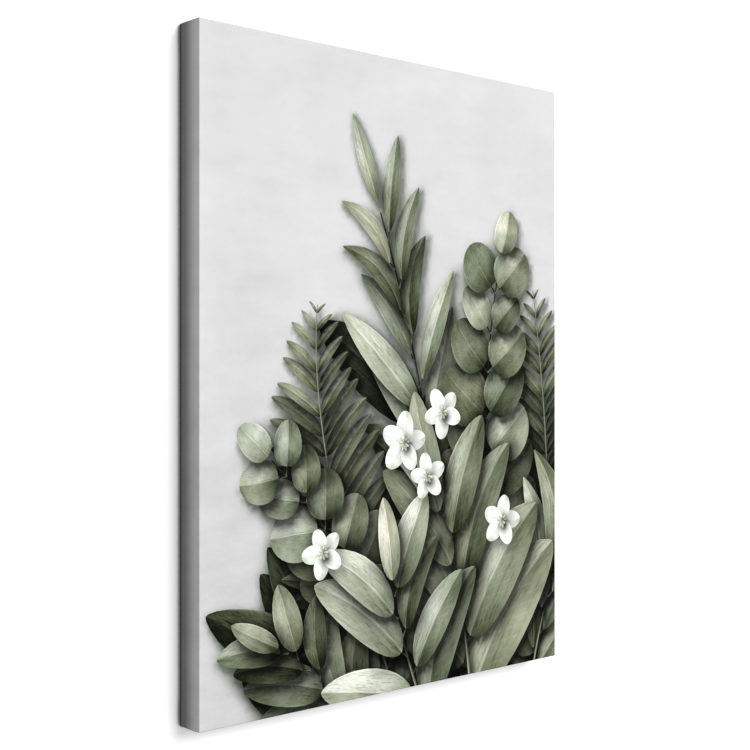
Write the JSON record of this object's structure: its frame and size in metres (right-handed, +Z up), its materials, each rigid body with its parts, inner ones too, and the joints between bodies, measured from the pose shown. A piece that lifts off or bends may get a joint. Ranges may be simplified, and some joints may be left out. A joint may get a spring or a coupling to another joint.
{
  "type": "stretched canvas print",
  "caption": "Upright picture canvas wrapped round a deep mitred stretcher frame, folded and stapled at the back, with corner wedges and a saw-tooth hanger.",
  "frame": {"origin": "middle notch of the saw-tooth hanger, where the wall nail bears, in the plane of the wall", "axes": "+Z up, the picture faces -Y, +X to the right as one looks at the picture, +Y into the wall"},
  "size_m": [0.6, 0.0421, 0.8],
  "materials": {
    "canvas": "matt primed cotton canvas, printed on the face and sides",
    "pine": "planed, unfinished",
    "beech": "sawn, unfinished",
    "steel": "zinc plated"
  },
  "bodies": {
    "root": {"canvas": "canvas", "bar_bottom": "pine", "bar_top": "pine", "bar_left": "pine", "bar_right": "pine", "key_top_left_across": "beech", "key_top_left_up": "beech", "key_top_right_across": "beech", "key_top_right_up": "beech", "key_bottom_right_across": "beech", "key_bottom_right_up": "beech", "key_bottom_left_across": "beech", "key_bottom_left_up": "beech", "staple_top_1": "steel", "staple_top_2": "steel", "staple_top_3": "steel", "staple_top_4": "steel", "staple_top_5": "steel", "staple_top_6": "steel", "staple_top_7": "steel", "staple_bottom_1": "steel", "staple_bottom_2": "steel", "staple_bottom_3": "steel", "staple_bottom_4": "steel", "staple_bottom_5": "steel", "staple_bottom_6": "steel", "staple_bottom_7": "steel", "staple_left_1": "steel", "staple_left_2": "steel", "staple_left_3": "steel", "staple_left_4": "steel", "staple_left_5": "steel", "staple_left_6": "steel", "staple_left_7": "steel", "staple_left_8": "steel", "staple_left_9": "steel", "staple_left_10": "steel", "staple_right_1": "steel", "staple_right_2": "steel", "staple_right_3": "steel", "staple_right_4": "steel", "staple_right_5": "steel", "staple_right_6": "steel", "staple_right_7": "steel", "staple_right_8": "steel", "staple_right_9": "steel", "staple_right_10": "steel", "staple_corner_top_left_1": "steel", "staple_corner_top_left_2": "steel", "staple_corner_top_right_1": "steel", "staple_corner_top_right_2": "steel", "staple_corner_bottom_right_1": "steel", "staple_corner_bottom_right_2": "steel", "staple_corner_bottom_left_1": "steel", "staple_corner_bottom_left_2": "steel", "hanger": "steel", "hanger_nail_left": "steel", "hanger_nail_right": "steel"}
  },
  "joints": []
}
